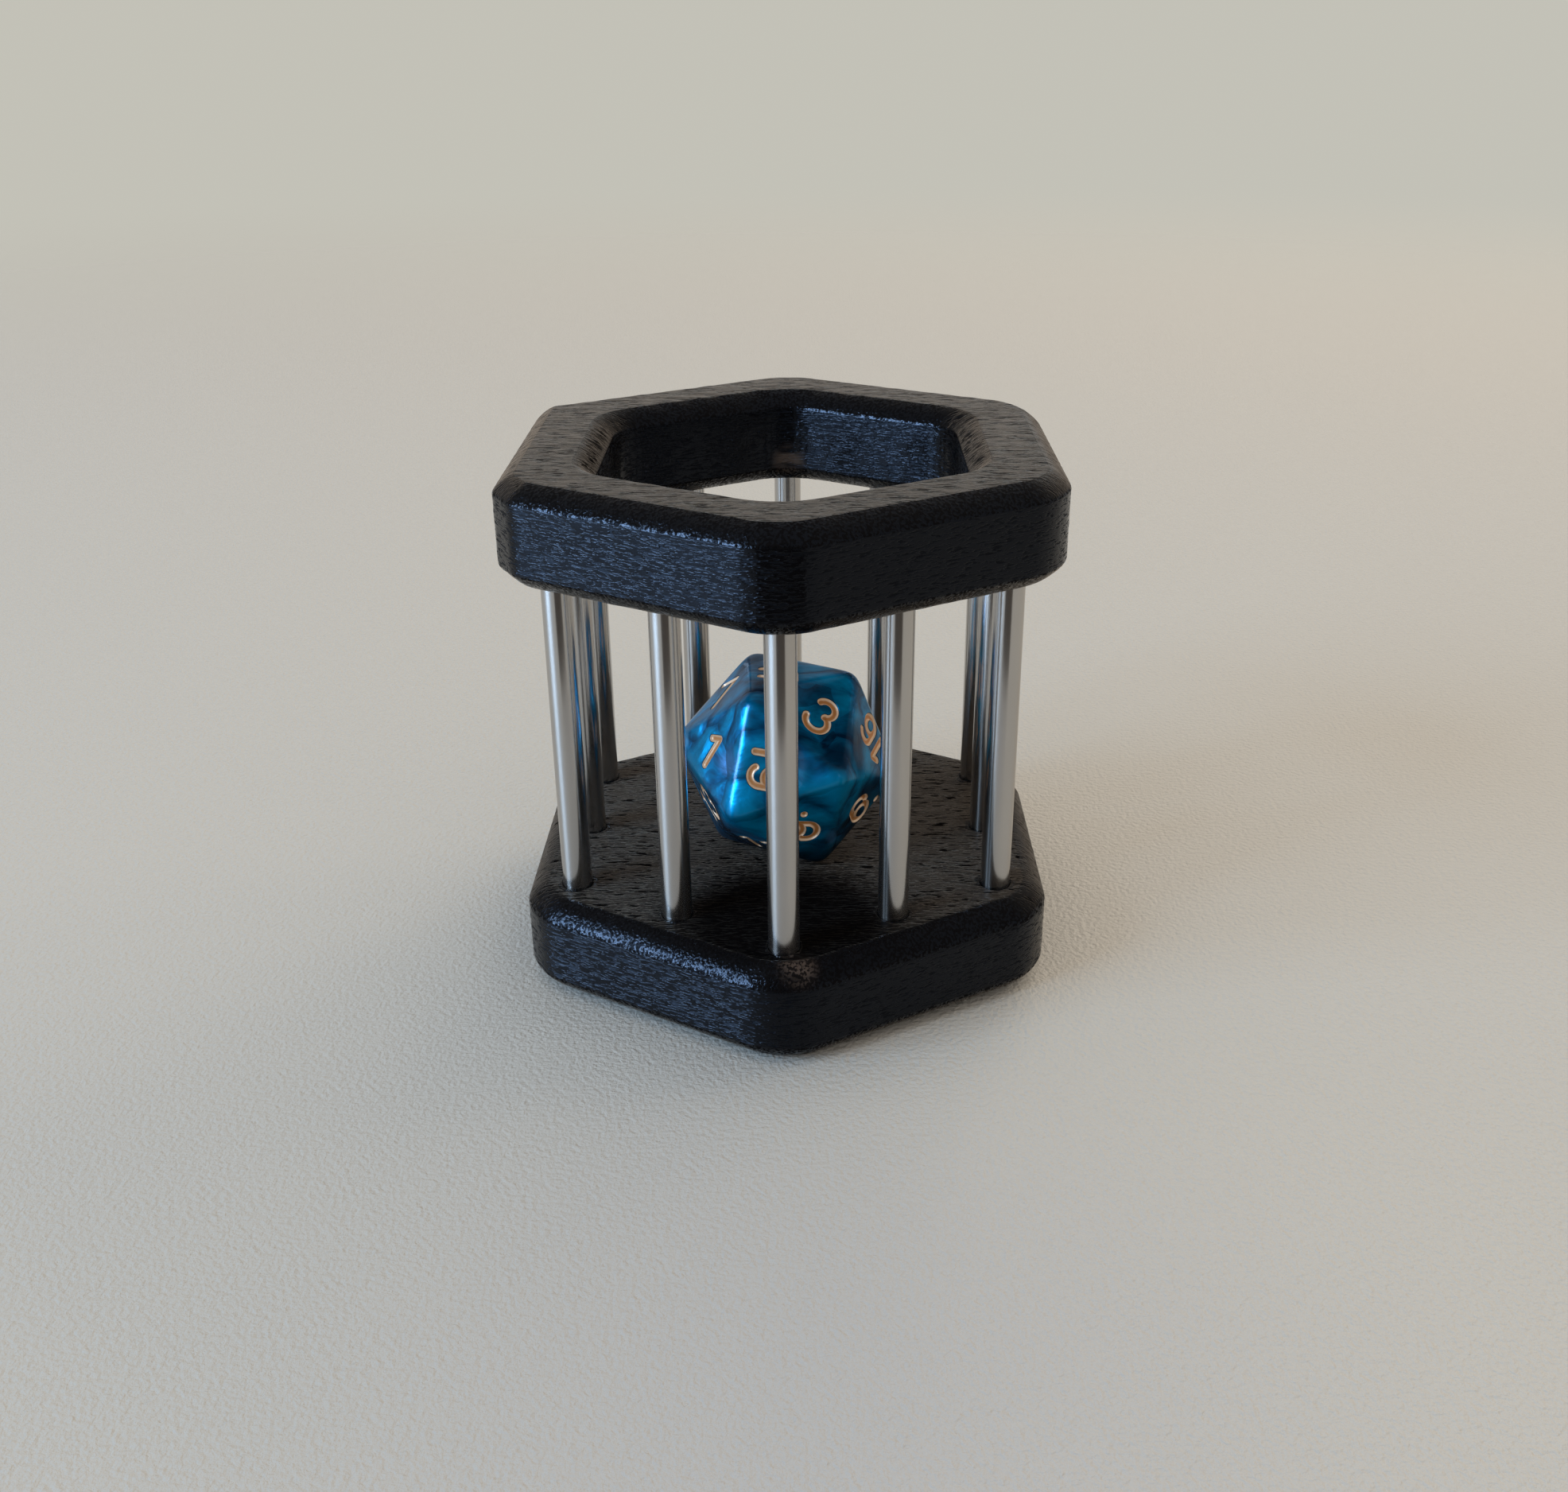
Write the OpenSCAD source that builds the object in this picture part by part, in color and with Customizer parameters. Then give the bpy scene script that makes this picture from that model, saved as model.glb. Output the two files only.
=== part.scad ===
// Dice jail: two hexagonal wooden plates joined by twelve steel bars, with a twenty-sided die inside.
// Millimetres, +Z up. The origin is the middle of the base's underside, and one corner points along -Y.

/* [Plates] */
// Width of both plates across the flats
plate_flats = 57; // [52:0.5:80]
// Radius of the plates' upright corners
corner_r = 8.8; // [5:0.1:13]
// Radius of the rounded edges, outside and round the hole
edge_r = 2.3; // [0.5:0.1:3]
// Thickness of the base
base_h = 11.2; // [9:0.1:20]
// Thickness of the top ring
ring_h = 10.8; // [9:0.1:20]

/* [Hole] */
// Width of wood between the hole and the ring's sides
ring_wall = 9.7; // [9:0.1:12]
// Radius of the hole's corners
hole_corner_r = 5; // [2:0.1:9]

/* [Bars] */
// Diameter of the bars
bar_d = 3.2; // [2:0.1:3.6]
// Length of bar that shows between the plates
bar_show = 35.1; // [26:0.1:60]
// Distance from a plate's side to the axis of a bar
bar_inset = 5.7; // [4.5:0.1:6.2]
// Depth of the sockets in both plates
socket_depth = 7; // [3:0.1:7.5]
// Room for glue round a bar, on the diameter
glue_gap = 0.1; // [0.06:0.01:0.2]

/* [Die] */
// Width of the die from face to face
die_flats = 20.5; // [14:0.1:22]
// How much is trimmed off each corner of the die
die_trim = 0.5; // [0.1:0.1:1]
// Turn of the die about the vertical, where 0 points a corner of its top face to the right
die_turn = 1; // [0:1:120]
// Place of the die on the base, from left to right
die_x = 0; // [-2:0.1:2]
// Place of the die on the base, from front to back
die_y = -2.8; // [-3:0.1:2]

/* [Hidden] */
SIDES = 6;
STEP = 360 / SIDES;
CORNER_STEPS = 8;
EDGE_STEPS = 5;
GOLD = (1 + sqrt(5)) / 2;
plate_a = plate_flats / 2;
hole_a = plate_a - ring_wall;
bar_a = plate_a - bar_inset;
ring_z = base_h + bar_show;
socket_d = bar_d + glue_gap;
bar_len = bar_show + 2 * socket_depth;
bar_count = 2 * SIDES;

// An icosahedron's corners are this many times as far from its centre as its faces are
CORNER_RATIO = sqrt(15 - 6 * sqrt(5));
die_corners = die_flats * CORNER_RATIO - 2 * die_trim;

// Turn that points a corner of the top face along +X once the die stands on a face
CORNER_TURN = 60 - atan(sqrt(3 / 5));

// Distance from the centre to the middle of a corner arc, for a hexagon with apothem a and corner radius r
function corner_reach(a, r) = (a - r) / cos(STEP / 2);

// Bars stand on a hexagon: even numbers at its corners, odd ones at the middles of its sides
function bar_reach(i) = i % 2 == 0 ? bar_a / cos(STEP / 2) : bar_a;
function bar_angle(i) = -90 + i * STEP / 2;

// One outward normal of each pair of opposite faces of an icosahedron
die_normals = concat(
    [for (sy = [-1, 1], sz = [-1, 1]) [1, sy, sz]],
    [for (s = [-1, 1]) [0, s / GOLD, GOLD]],
    [for (s = [-1, 1]) [s / GOLD, GOLD, 0]],
    [for (s = [-1, 1]) [GOLD, 0, s / GOLD]]
);

$fn = 96;

// Hexagon outline with apothem a and corner radius r at height z, anticlockwise from the front corner
function outline(a, r, z) = [
    for (i = [0:SIDES - 1], j = [0:CORNER_STEPS])
        let (middle = -90 + i * STEP, t = middle + STEP * (j / CORNER_STEPS - 0.5))
        [
            corner_reach(a, r) * cos(middle) + r * cos(t),
            corner_reach(a, r) * sin(middle) + r * sin(t),
            z
        ]
];

// Inset and height of one row of a rounded edge, from the flat face to the side
function edge_row(i) = let (t = 90 * i / EDGE_STEPS) edge_r * [1 - sin(t), 1 - cos(t)];

// The same for all rows of a plate, from its underside to its top face
function edge_rows(h) = concat(
    [for (i = [0:EDGE_STEPS]) edge_row(i)],
    [for (i = [EDGE_STEPS:-1:0]) [edge_row(i)[0], h - edge_row(i)[1]]]
);

// Rows of outlines up the outside of a plate, and down the wall of the hole
function outside(h) = [for (e = edge_rows(h)) outline(plate_a - e[0], corner_r - e[0], e[1])];
function inside(h) = [
    for (e = edge_rows(h)) outline(hole_a + e[0], hole_corner_r + e[0], h - e[1])
];

// Skin over rows of points, either joined from last to first or capped at both ends
module skin(rows, joined) {
    n = len(rows[0]);
    m = len(rows);
    bands = [
        for (i = [0:m - (joined ? 1 : 2)], j = [0:n - 1])
            let (low = i * n, high = (i + 1) % m * n, next = (j + 1) % n)
            [low + j, high + j, high + next, low + next]
    ];
    caps = joined ? [] : [[for (j = [0:n - 1]) j], [for (j = [n - 1:-1:0]) (m - 1) * n + j]];
    polyhedron([for (row = rows) each row], concat(bands, caps));
}

module at_bar(i, z) {
    translate([bar_reach(i) * cos(bar_angle(i)), bar_reach(i) * sin(bar_angle(i)), z]) children();
}

module base() {
    color("#1b1a19") difference() {
        skin(outside(base_h), joined = false);
        for (i = [0:bar_count - 1]) {
            at_bar(i, base_h - socket_depth) cylinder(h = socket_depth + 1, d = socket_d);
        }
    }
}

module top_ring() {
    color("#1b1a19") translate([0, 0, ring_z]) difference() {
        skin(concat(outside(ring_h), inside(ring_h)), joined = true);
        for (i = [0:bar_count - 1]) {
            at_bar(i, -1) cylinder(h = socket_depth + 1, d = socket_d);
        }
    }
}

module rod(i) {
    color("#a9a7a4") at_bar(i, base_h - socket_depth) cylinder(h = bar_len, d = bar_d);
}

// Icosahedron made of ten slabs, with its corners trimmed by a sphere
module icosahedron(flats, corners) {
    wide = 2 * corners;
    intersection() {
        sphere(d = corners);
        intersection_for(n = die_normals) {
            rotate([0, acos(n.z / norm(n)), atan2(n.y, n.x)]) cube([wide, wide, flats], center = true);
        }
    }
}

// The die stands on the face that looked along (1, 1, 1)
module die() {
    color("#13678c") translate([die_x, die_y, base_h + die_flats / 2]) rotate(CORNER_TURN + die_turn) {
        rotate([0, -acos(1 / sqrt(3)), 0]) rotate(-45) icosahedron(die_flats, die_corners);
    }
}

base();
top_ring();
for (i = [1:bar_count]) {
    rod(i - 1);
}
die();
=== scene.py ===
import math

import bpy
import numpy as np
from mathutils import Matrix, Vector


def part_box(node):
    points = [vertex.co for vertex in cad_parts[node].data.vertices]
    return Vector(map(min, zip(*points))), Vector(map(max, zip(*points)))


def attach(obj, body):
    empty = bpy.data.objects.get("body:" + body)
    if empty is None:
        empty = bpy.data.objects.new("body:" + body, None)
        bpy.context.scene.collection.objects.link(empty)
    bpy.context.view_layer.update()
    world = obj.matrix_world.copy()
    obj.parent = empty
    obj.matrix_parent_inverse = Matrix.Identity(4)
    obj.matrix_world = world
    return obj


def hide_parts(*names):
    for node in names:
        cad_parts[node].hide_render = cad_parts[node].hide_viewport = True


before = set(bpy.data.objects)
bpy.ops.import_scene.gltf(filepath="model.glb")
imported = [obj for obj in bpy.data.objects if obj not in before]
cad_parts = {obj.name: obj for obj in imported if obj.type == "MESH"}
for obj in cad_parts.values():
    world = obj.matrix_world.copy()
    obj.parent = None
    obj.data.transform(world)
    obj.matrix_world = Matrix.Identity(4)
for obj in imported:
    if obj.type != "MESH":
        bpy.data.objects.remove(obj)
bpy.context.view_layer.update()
mm = 0.001
print("frame loaded:", len(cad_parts), "nodes")


# Helpers for shaders
class Wire:
    # Wraps an output socket. Arithmetic on it adds Math nodes, add() puts in any other node, and plug()
    # sets or links the inputs of the node that the socket belongs to
    def __init__(self, socket):
        self.socket = socket

    def plug(self, values):
        node = self.socket.node
        for name, value in values.items():
            socket = node.inputs[name]
            if isinstance(value, Wire):
                node.id_data.links.new(value.socket, socket)
            elif socket.type == "RGBA":
                socket.default_value = (*value, 1.0)
            else:
                socket.default_value = value
        return self

    def add(self, kind, settings, sockets, out=0):
        made = self.socket.id_data.nodes.new("ShaderNode" + kind)
        for name, value in settings.items():
            if name == "stops":
                fillRamp(made.color_ramp, value)
            else:
                setattr(made, name, value)
        return Wire(made.outputs[out]).plug(sockets)

    def math(self, operation, first, second=0.0):
        return self.add("Math", {"operation": operation}, {0: first, 1: second})

    def __add__(self, other):
        return self.math("ADD", self, other)

    def __sub__(self, other):
        return self.math("SUBTRACT", self, other)

    def __mul__(self, other):
        return self.math("MULTIPLY", self, other)

    def __rsub__(self, other):
        return self.math("SUBTRACT", other, self)

    __radd__ = __add__
    __rmul__ = __mul__

    # 0 below low, 1 above high, and a smooth step between
    def step(self, low, high):
        settings = {"interpolation_type": "SMOOTHSTEP"}
        return self.add("MapRange", settings, {0: self, 1: low, 2: high, 3: 0.0, 4: 1.0})

    # A blend of two colours by this value
    def tint(self, first, second):
        return self.add("Mix", {"data_type": "RGBA"}, {0: self, 6: first, 7: second}, out=2)

    def vector(self, operation, second, out=0):
        return self.add("VectorMath", {"operation": operation}, {0: self, 1: second}, out)

    # Noise on this vector, stretched by the three scales
    def noise(self, scales, detail=2.0, roughness=0.5):
        stretched = self.vector("MULTIPLY", scales)
        sockets = {"Vector": stretched, "Scale": 1.0, "Detail": detail, "Roughness": roughness}
        return stretched.add("TexNoise", {}, sockets)

    # 1 where this vector is near a centre, and 0 from reach outwards. It starts to fall at the inner
    # share of reach
    def near(self, centre, reach, inner):
        return 1.0 - self.vector("DISTANCE", centre, out=1).step(inner * reach, reach)

    # The surface's normal, or the one given, tipped by this height
    def bump(self, distance, normal=None, strength=1.0):
        sockets = {"Strength": strength, "Distance": distance, "Height": self}
        return self.add("Bump", {}, sockets if normal is None else {**sockets, "Normal": normal})

    # This shader, mixed with a share of another
    def mixed(self, share, other):
        return self.add("MixShader", {}, {0: share, 1: self, 2: other})


def fillRamp(ramp, stops):
    while len(ramp.elements) < len(stops):
        ramp.elements.new(1.0)
    for element, (place, colour) in zip(ramp.elements, stops):
        element.position = place
        element.color = (*colour, 1.0)


# A material, its main shader and its Object coordinates
def newMaterial(name):
    made = bpy.data.materials.new(name)
    made.use_nodes = True
    nodes = made.node_tree.nodes
    shader = Wire(nodes["Principled BSDF"].outputs[0])
    return made, shader, Wire(nodes.new("ShaderNodeTexCoord").outputs["Object"])


def setSurface(material, shader):
    output = material.node_tree.nodes["Material Output"]
    material.node_tree.links.new(shader.socket, output.inputs["Surface"])


# Helpers for meshes
def newPiece(name, points, faces, material=None):
    mesh = bpy.data.meshes.new(name)
    mesh.from_pydata(np.asarray(points).reshape(-1, 3), [], [list(f) for f in faces])
    mesh.validate()
    mesh.polygons.foreach_set("use_smooth", np.ones(len(mesh.polygons), bool))
    if material is not None:
        mesh.materials.append(material)
    piece = bpy.data.objects.new(name, mesh)
    bpy.context.scene.collection.objects.link(piece)
    return piece


# Quads between the rows of a grid of points whose columns run round. joined also joins the last row to
# the first
def bandFaces(rowCount, columnCount, joined=False):
    i = np.arange(rowCount if joined else rowCount - 1)[:, None]
    j = np.arange(columnCount)[None, :]
    here, above = i * columnCount, (i + 1) % rowCount * columnCount
    nextJ = (j + 1) % columnCount
    return np.stack([here + j, here + nextJ, above + nextJ, above + j], -1).reshape(-1, 4)


# The same grid closed with a fan of triangles to a pole at each end; the poles are the last two points
def closedFaces(rowCount, columnCount):
    j = np.arange(columnCount)
    nextJ = (j + 1) % columnCount
    last = (rowCount - 1) * columnCount
    poles = rowCount * columnCount
    bottom = np.stack([nextJ, j, np.full(columnCount, poles)], -1)
    top = np.stack([last + j, last + nextJ, np.full(columnCount, poles + 1)], -1)
    return bandFaces(rowCount, columnCount).tolist() + bottom.tolist() + top.tolist()


# A profile turned about an upright axis at x and y: radii and heights from its lower end to its upper one
def turnedPiece(name, x, y, radii, heights, columns, material=None):
    turn = np.linspace(0, 2 * math.pi, columns, endpoint=False)
    reach, height = np.array([radii, heights])[:, :, None]
    grid = [x + reach * np.cos(turn), y + reach * np.sin(turn), height + 0 * turn]
    poles = [[x, y, heights[0]], [x, y, heights[-1]]]
    points = np.concatenate([np.stack(grid, -1).reshape(-1, 3), poles])
    return newPiece(name, points, closedFaces(len(heights), columns), material)


# Cuts all the cutters out of a piece at once and deletes them
def carve(piece, cutters):
    tools = bpy.data.collections.new("cutters")
    bpy.context.scene.collection.children.link(tools)
    for cutter in cutters:
        bpy.context.scene.collection.objects.unlink(cutter)
        tools.objects.link(cutter)
    cut = piece.modifiers.new("cut", "BOOLEAN")
    cut.operation, cut.operand_type, cut.collection = "DIFFERENCE", "COLLECTION", tools
    cut.solver, cut.material_mode = "MANIFOLD", "TRANSFER"
    evaluated = piece.evaluated_get(bpy.context.evaluated_depsgraph_get())
    finished = bpy.data.meshes.new_from_object(evaluated)
    piece.modifiers.clear()
    piece.data = finished
    for cutter in cutters:
        bpy.data.objects.remove(cutter)
    bpy.data.collections.remove(tools)


def meshPoints(mesh):
    flat = np.empty(len(mesh.vertices) * 3)
    mesh.vertices.foreach_get("co", flat)
    return flat.reshape(-1, 3)


# Camera, floor and light
view = {
    "sensor": 36.0,                             # mm
    "lens": 37.35,                              # mm
    "place": (3.08 * mm, -168.16 * mm, 99.87 * mm),
    "down": 24.99,                              # degrees below the horizon
    "turn": 1.15,                               # degrees about the vertical
    "roll": -0.69,
    "sees": (0.01, 50.0),                       # nearest and furthest distance
}
# Soft lights. Azimuths are in degrees from +X and heights above the horizon, both seen from the target
lamps = {
    "window": {
        "azimuth": 207.0,
        "height": 27.0,
        "away": 1.2,
        "size": (0.55, 0.45),
        "power": 8.7,
        "colour": (0.42, 0.70, 1.0),
    },
    # What polished and lacquered surfaces mirror of the tall window
    "glint": {
        "azimuth": 207.0,
        "height": 20.0,
        "away": 1.2,
        "size": (0.54, 0.70),
        "power": 38.0,
        "colour": (0.45, 0.68, 1.0),
    },
    # Wide and warm, from behind on the right
    "fill": {
        "azimuth": 47.0,
        "height": 30.0,
        "away": 1.5,
        "size": (1.7, 0.8),
        "power": 14.0,
        "colour": (1.0, 0.84, 0.64),
    },
}
room = {
    "target": (0.0, 0.0, 30 * mm),              # what the lights look at
    "colour": (0.695, 0.642, 0.580),            # what lights the object
    "backColour": (0.545, 0.535, 0.475),        # what the camera sees
    "mirrorColour": (0.385, 0.395, 0.405),      # what gloss shows
    "flagPlace": (6 * mm, -111 * mm),           # a dark card by the camera, which only reflections show
    "flagSize": (0.095, 0.16),
    "flagColour": (0.08, 0.075, 0.075),
    "flagRoughness": 0.9,
}
ground = {
    "colour": (0.520, 0.508, 0.478),
    "paintedShadowColour": (0.465, 0.462, 0.456),       # painted shadow: a little darker round this place in front of the cage
    "paintedShadowPlace": (6 * mm, -75 * mm, 0.0),
    "paintedShadowReach": 60 * mm,
    "roughness": 0.6,
    "specular": 0.3,
    "reach": 1.0,
    "fadeFrom": 0.30,                           # it melts into the background between these distances
    "fadeTo": 0.80,
    "grainScale": 1700.0,
    "grainDepth": 0.34 * mm,
    "grainStrength": 0.8,
}


def makeCamera():
    data = bpy.data.cameras.new("camera")
    data.sensor_fit, data.sensor_width, data.lens = "HORIZONTAL", view["sensor"], view["lens"]
    data.clip_start, data.clip_end = view["sees"]
    camera = bpy.data.objects.new("camera", data)
    bpy.context.scene.collection.objects.link(camera)
    turned = Matrix.Rotation(math.radians(view["turn"]), 4, "Z")
    tipped = Matrix.Rotation(math.radians(90 - view["down"]), 4, "X")
    rolled = Matrix.Rotation(math.radians(view["roll"]), 4, "Z")
    camera.matrix_world = Matrix.Translation(view["place"]) @ turned @ tipped @ rolled
    bpy.context.scene.camera = camera


# A soft rectangular light that looks at the target from an azimuth and a height
def makeLight(name):
    values = lamps[name]
    data = bpy.data.lights.new(name, "AREA")
    data.shape, data.energy, data.color = "RECTANGLE", values["power"], values["colour"]
    data.size, data.size_y = values["size"]
    lamp = bpy.data.objects.new(name, data)
    bpy.context.scene.collection.objects.link(lamp)
    azimuth, height = math.radians(values["azimuth"]), math.radians(values["height"])
    flat = math.cos(height)
    towards = Vector((flat * math.cos(azimuth), flat * math.sin(azimuth), math.sin(height)))
    lamp.location = Vector(room["target"]) + towards * values["away"]
    lamp.rotation_euler = towards.to_track_quat("Z", "Y").to_euler()
    lamp.visible_camera = False
    return lamp


# The bars are polished, so they need something dark to reflect beside the pale floor
def makeFlag():
    wide, high = room["flagSize"]
    x, z = np.meshgrid([-wide / 2, wide / 2], [0.0, high])
    points = np.stack([x + room["flagPlace"][0], np.full_like(x, room["flagPlace"][1]), z], -1)
    material, shader, _ = newMaterial("blackCard")
    shader.plug({"Base Color": room["flagColour"], "Roughness": room["flagRoughness"]})
    flag = newPiece("blackCard", points, [(0, 1, 3, 2)], material)
    flag.visible_camera = flag.visible_diffuse = flag.visible_shadow = False


# The world has one colour for the camera, one for gloss and one that lights the object
def makeRoom():
    world = bpy.data.worlds.new("room")
    bpy.context.scene.world = world
    world.use_nodes = True
    nodes = world.node_tree.nodes
    path = nodes.new("ShaderNodeLightPath")
    seen = Wire(path.outputs["Is Camera Ray"]) + Wire(path.outputs["Is Transmission Ray"])
    colour = Wire(path.outputs["Is Glossy Ray"]).tint(room["colour"], room["mirrorColour"])
    colour = seen.step(0.0, 1.0).tint(colour, room["backColour"])
    Wire(nodes["Background"].outputs[0]).plug({"Color": colour})


def makeFloor():
    edges = np.array([-ground["reach"], ground["reach"]])
    x, y = np.meshgrid(edges, edges)
    points = np.stack([x, y, np.zeros_like(x)], -1)
    material, shader, place = newMaterial("paleTop")
    # painted shadow: the floor is darker round a place in front of the cage
    front = place.near(ground["paintedShadowPlace"], ground["paintedShadowReach"], 0.0)
    grain = place.noise((ground["grainScale"],) * 3, detail=3.0)
    shader.plug({
        "Base Color": front.tint(ground["colour"], ground["paintedShadowColour"]),
        "Roughness": ground["roughness"],
        "Specular IOR Level": ground["specular"],
        "Normal": grain.bump(ground["grainDepth"], strength=ground["grainStrength"]),
    })
    faded = place.vector("DISTANCE", (0, 0, 0), out=1).step(ground["fadeFrom"], ground["fadeTo"])
    setSurface(material, shader.mixed(faded, faded.add("BsdfTransparent", {}, {})))
    floor = newPiece("floor", points, [(0, 1, 3, 2)], material)


makeCamera()
makeLight("window").visible_glossy = False
makeLight("glint").visible_diffuse = False
makeLight("fill").visible_glossy = False
makeFlag()
makeRoom()
makeFloor()
bpy.context.scene.view_settings.view_transform = "Standard"
print("camera, light and floor made")


# Black-stained wood
wood = {
    "colour": (0.0019, 0.0017, 0.0021),
    "paintedSheenColour": (0.017, 0.0145, 0.0125),       # painted sheen: the top of the base is lighter, outside the painted shade spot
    "rubbedColour": (0.062, 0.044, 0.034),
    "poreAndShadeColour": (0.0013, 0.0012, 0.0015),   # in the pores, and in the painted shade spot
    "grainColour": (0.0050, 0.0044, 0.0046),    # dull grains in the gloss of the edges
    "sheenColour": (1.0, 0.86, 0.72),
    "glossColour": (0.70, 0.80, 1.0),
    # Roughness, specular level, sheen and anisotropy of each kind of surface
    "flatFinish": (0.40, 0.04, 0.44, 0.0),
    "edgeFinish": (0.15, 0.25, 0.0, 0.0),
    "sideFinish": (0.42, 0.24, 0.0, 0.85),
    "ior": 1.45,
    "glossTurn": 0.25,                          # a quarter turn, so that it spreads up and down
    "sheenRoughness": 0.35,
    # Scales along X, Y and Z. The grain runs along X, and sanding marks run round the sides
    "poreScale": (480.0, 3200.0, 1100.0),
    "finePoreScale": (760.0, 5200.0, 1600.0),
    "streakScale": (620.0, 620.0, 4200.0),
    "fleckScale": (1400.0, 1400.0, 6200.0),
    "pebbleScale": (3300.0, 3300.0, 3300.0),
    "cloudScale": (60.0, 200.0, 200.0),
    "rubbedScale": (300.0, 1000.0, 1000.0),
    # Where each pattern starts and where it is full
    "poreStep": (0.54, 0.64),
    "finePoreStep": (0.55, 0.67),
    "streakStep": (0.36, 0.52),
    "grainStep": (0.45, 0.55),
    "rubbedStep": (0.28, 0.58),
    "levelStep": (0.95, 0.99),                  # in the attribute tilt: flat faces
    "slopeStep": (0.06, 0.24),                  # and all that isn't upright
    "ringStep": (20 * mm, 30 * mm),             # in height
    "poreDepth": 0.06 * mm,
    "poreShare": 0.95,
    "ringPoreShare": 0.74,                      # the ring is dustier
    "finePoreShare": 0.5,
    "tornPoreShare": 0.6,
    "streakDepth": 0.06 * mm,
    "streakRoughness": 0.52,
    "pebbleDepth": 0.10 * mm,
    "flatPebbleLoss": 0.8,                      # how much less pebbled than the edges the faces are
    "sidePebbleLoss": 0.9,
    "grainShare": 0.90,
    "cloudRoughness": 0.24,
    # Centre and reach of a spot, and the share of its reach where it starts to fade
    "paintedShadeSpot": ((0.0, -22 * mm, 11 * mm), 17.5 * mm, 0.45),    # painted shade: the base's top is near-black here, in front of the die
    "paintedShadeShare": 0.93,
    "rubbedSpots": (
        ((1.4 * mm, -29.3 * mm, 10.3 * mm), 2.7 * mm, 0.3),
        ((0.3 * mm, 21.0 * mm, 49.0 * mm), 2.6 * mm, 0.3),
    ),
}


def woodFinish(shader, finish, colour, unevenness, normal):
    roughness, specular, sheen, drawn = wood[finish]
    shader.plug({
        "Base Color": colour,
        "Roughness": unevenness + roughness,
        "Normal": normal,
        "IOR": wood["ior"],
        "Specular IOR Level": specular,
        "Specular Tint": wood["glossColour"],
        "Anisotropic": drawn,
        "Anisotropic Rotation": wood["glossTurn"],
        "Sheen Weight": sheen,
        "Sheen Roughness": wood["sheenRoughness"],
        "Sheen Tint": wood["sheenColour"],
    })


# The attribute tilt is 1 on flat faces and 0 on upright ones, and torn is 1 on edges that face along
# the grain. Flat faces and torn edges are matt and have open pores. Upright faces have sanding marks
# that spread the gloss up and down. The edges between them are glossy and pebbled, with dull grains.
# The top of the base is lighter, a painted sheen, outside one spot in front of the die that is painted
# near-black as shade, and two spots are rubbed through to brown
def woodMaterial():
    material, flatShader, place = newMaterial("blackWood")
    tilt = place.add("Attribute", {"attribute_name": "tilt"}, {}, out=2)
    torn = place.add("Attribute", {"attribute_name": "torn"}, {}, out=2)
    level = tilt.step(*wood["levelStep"])
    upright = 1.0 - (tilt + torn).step(*wood["slopeStep"])
    flat = torn.math("MAXIMUM", torn, level)
    above = place.add("SeparateXYZ", {}, {0: place}, out=2).step(*wood["ringStep"])

    pore = place.noise(wood["poreScale"], roughness=0.55).step(*wood["poreStep"])
    finePore = place.noise(wood["finePoreScale"], detail=1.0).step(*wood["finePoreStep"])
    porous = (level + torn * wood["tornPoreShare"]).step(0.0, 1.0)
    pore = (pore + finePore * wood["finePoreShare"]) * porous
    streak = place.noise(wood["streakScale"], detail=1.0) + place.noise(wood["fleckScale"], detail=1.0)
    streak = (streak * 0.5).step(*wood["streakStep"])
    pebble = place.noise(wood["pebbleScale"], roughness=0.45)
    cloud = place.noise(wood["cloudScale"], detail=3.0, roughness=0.55)

    # painted shade: a near-black spot on the base's top in front of the die, where the die and cage shade
    # it
    paintedShade = place.near(*wood["paintedShadeSpot"]) * flat * wood["paintedShadeShare"]
    # painted sheen: the rest of the base's top is lighter, in place of light that the ring and bars keep
    # off
    paintedSheen = level * (1.0 - above) * (1.0 - paintedShade)
    rubbed = sum(place.near(*spot) for spot in wood["rubbedSpots"])
    rubbed = rubbed * place.noise(wood["rubbedScale"]).step(*wood["rubbedStep"])
    colour = rubbed.tint(paintedSheen.tint(wood["colour"], wood["paintedSheenColour"]), wood["rubbedColour"])

    pebbled = 1.0 - wood["flatPebbleLoss"] * flat - wood["sidePebbleLoss"] * upright
    normal = (1.0 - pore).bump(wood["poreDepth"])
    normal = (streak * upright).bump(wood["streakDepth"], normal)
    normal = (pebble * pebbled).bump(wood["pebbleDepth"], normal)

    unevenness = (cloud - 0.5) * wood["cloudRoughness"]
    brushed = unevenness + (0.5 - streak) * wood["streakRoughness"]
    edge, side = (place.add("BsdfPrincipled", {}, {}) for _ in range(2))
    woodFinish(flatShader, "flatFinish", colour, unevenness, normal)
    woodFinish(edge, "edgeFinish", colour, unevenness, normal)
    woodFinish(side, "sideFinish", colour, brushed, normal)
    grain = place.add("BsdfDiffuse", {}, {"Color": wood["grainColour"], "Normal": normal})
    poreAndShade = place.add("BsdfDiffuse", {}, {"Color": wood["poreAndShadeColour"], "Normal": normal})

    surface = edge.mixed(pebble.step(*wood["grainStep"]) * wood["grainShare"], grain)
    surface = surface.mixed(upright, side).mixed(flat, flatShader)
    share = wood["poreShare"] - above * (wood["poreShare"] - wood["ringPoreShare"])
    matt = pore.math("MAXIMUM", pore.step(0.0, 1.0) * share, paintedShade)
    setSurface(material, surface.mixed(matt, poreAndShade))
    return material


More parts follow.
